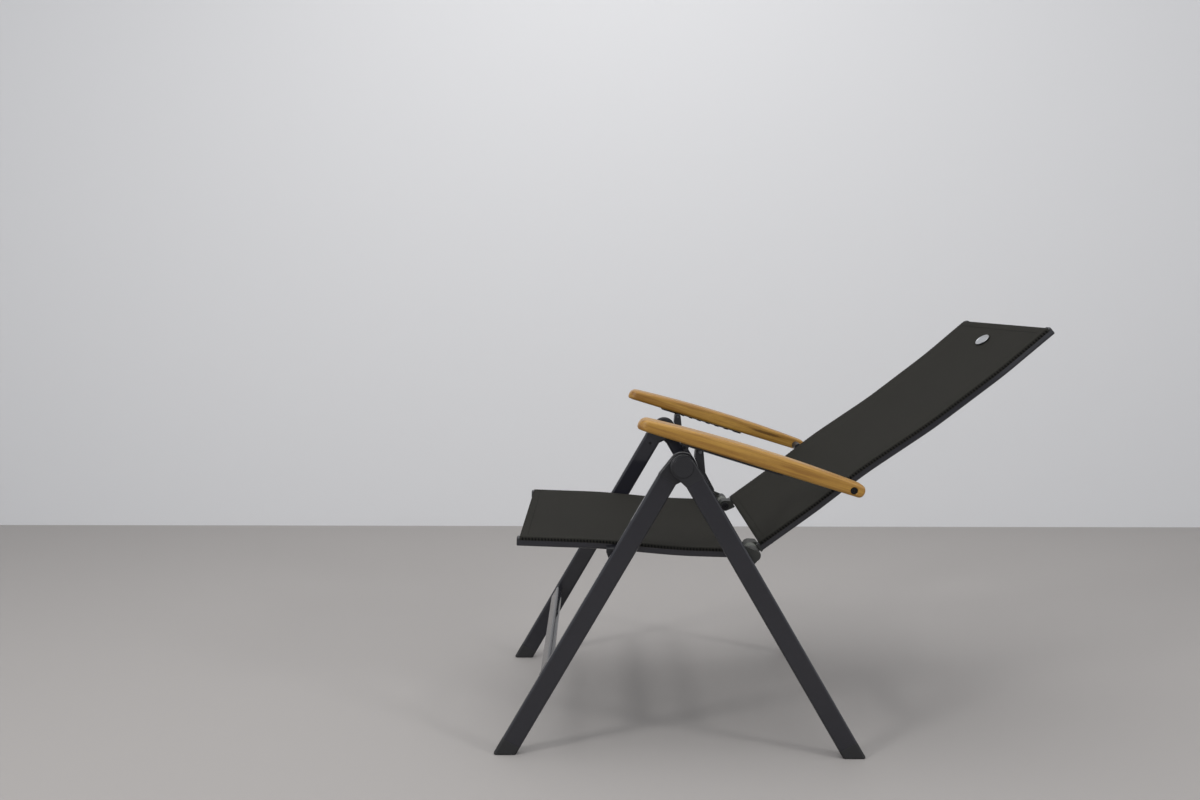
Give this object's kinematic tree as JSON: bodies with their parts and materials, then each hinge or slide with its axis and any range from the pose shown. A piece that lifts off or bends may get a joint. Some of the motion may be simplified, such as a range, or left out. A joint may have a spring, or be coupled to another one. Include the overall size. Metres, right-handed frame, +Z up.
{
  "type": "folding reclining garden armchair",
  "caption": "Folding garden armchair with crossed tube legs, stretched fabric seat, reclining back and wooden armrests on notched racks.",
  "frame": {"origin": "on the floor, under the middle of the chair's outline seen from above", "axes": "+X to the sitter's left, +Y to the back of the chair, +Z up"},
  "size_m": [0.6, 1.0936, 0.8489],
  "materials": {
    "frame_coat": "satin anthracite powder coat on aluminium tube",
    "fitting_plastic": "fine-grained anthracite moulded plastic",
    "hinge_plastic": "matt grey moulded plastic",
    "foot_plastic": "matt black moulded plastic",
    "steel_dark": "blackened steel",
    "steel_bright": "plain steel",
    "teak": "oiled golden teak with long grain",
    "textilene": "dark olive-charcoal plastic-coated mesh",
    "plate_metal": "bare satin plate"
  },
  "bodies": {
    "rear_frame": {"rear_leg_tube_left": "frame_coat", "rear_leg_tube_right": "frame_coat", "rear_leg_head_left": "fitting_plastic", "rear_leg_head_right": "fitting_plastic", "rear_foot_left": "foot_plastic", "rear_foot_right": "foot_plastic", "leg_rivets_rear": "steel_dark", "pivot_bolts": "steel_dark", "pivot_caps": "fitting_plastic", "armrest_post_left": "fitting_plastic", "armrest_post_right": "fitting_plastic", "lock_pins": "steel_bright", "post_screws": "steel_dark", "hinge_housing_left": "hinge_plastic", "hinge_housing_right": "hinge_plastic", "hinge_bolts": "steel_dark", "rear_crossbar": "frame_coat", "rear_stretcher": "frame_coat", "seat_rest_left": "fitting_plastic", "seat_rest_right": "fitting_plastic", "hinge_sleeve_left": "hinge_plastic", "hinge_sleeve_right": "hinge_plastic"},
    "front_frame": {"front_leg_tube_left": "frame_coat", "front_leg_tube_right": "frame_coat", "front_leg_head_left": "fitting_plastic", "front_leg_head_right": "fitting_plastic", "front_foot_left": "foot_plastic", "front_foot_right": "foot_plastic", "leg_rivets_front": "steel_dark", "front_stretcher": "frame_coat", "seat_pivot_bolts": "steel_dark"},
    "seat": {"seat_rail_left": "frame_coat", "seat_rail_right": "frame_coat", "seat_front_bar": "frame_coat", "seat_rear_bar": "frame_coat", "seat_rail_caps": "fitting_plastic", "seat_bracket_left": "fitting_plastic", "seat_bracket_right": "fitting_plastic", "seat_fabric": "textilene"},
    "backrest": {"back_rail_left": "frame_coat", "back_rail_right": "frame_coat", "back_bottom_bar": "frame_coat", "back_top_bar": "frame_coat", "back_rail_caps": "fitting_plastic", "hinge_tongue_left": "hinge_plastic", "hinge_tongue_right": "hinge_plastic", "tongue_rivets": "steel_dark", "back_fabric": "textilene", "back_plate": "plate_metal", "arm_spacer_left": "fitting_plastic", "arm_spacer_right": "fitting_plastic", "arm_bolts": "steel_dark"},
    "armrest_left": {"armrest_left": "teak", "armrest_rack_left": "fitting_plastic", "rack_screws_left": "steel_bright"},
    "armrest_right": {"armrest_right": "teak", "armrest_rack_right": "fitting_plastic", "rack_screws_right": "steel_bright"}
  },
  "joints": [
    {"name": "frame_fold", "type": "hinge", "parent": "rear_frame", "child": "front_frame", "pos_m": [0, -0.1784, 0.582], "axis": [1, 0, 0], "range_deg": [0, 56]},
    {"name": "seat_lift", "type": "hinge", "parent": "front_frame", "child": "seat", "pos_m": [0, -0.30212, 0.39011], "axis": [1, 0, 0], "range_deg": [0, 60]},
    {"name": "recline", "type": "hinge", "parent": "rear_frame", "child": "backrest", "pos_m": [0, -0.03615, 0.40619], "axis": [1, 0, 0], "range_deg": [0, 39]},
    {"name": "arm_tilt_left", "type": "hinge", "parent": "backrest", "child": "armrest_left", "pos_m": [0, 0.14528, 0.54094], "axis": [1, 0, 0], "range_deg": [-23.59, 0]},
    {"name": "arm_tilt_right", "type": "hinge", "parent": "backrest", "child": "armrest_right", "pos_m": [0, 0.14528, 0.54094], "axis": [1, 0, 0], "range_deg": [-23.59, 0]}
  ],
  "couplings": [
    {"joint": "seat_lift", "follows": "frame_fold", "ratio": 1.0714},
    {"joint": "arm_tilt_left", "follows": "recline", "ratio": -0.605},
    {"joint": "arm_tilt_right", "follows": "recline", "ratio": -0.605}
  ]
}
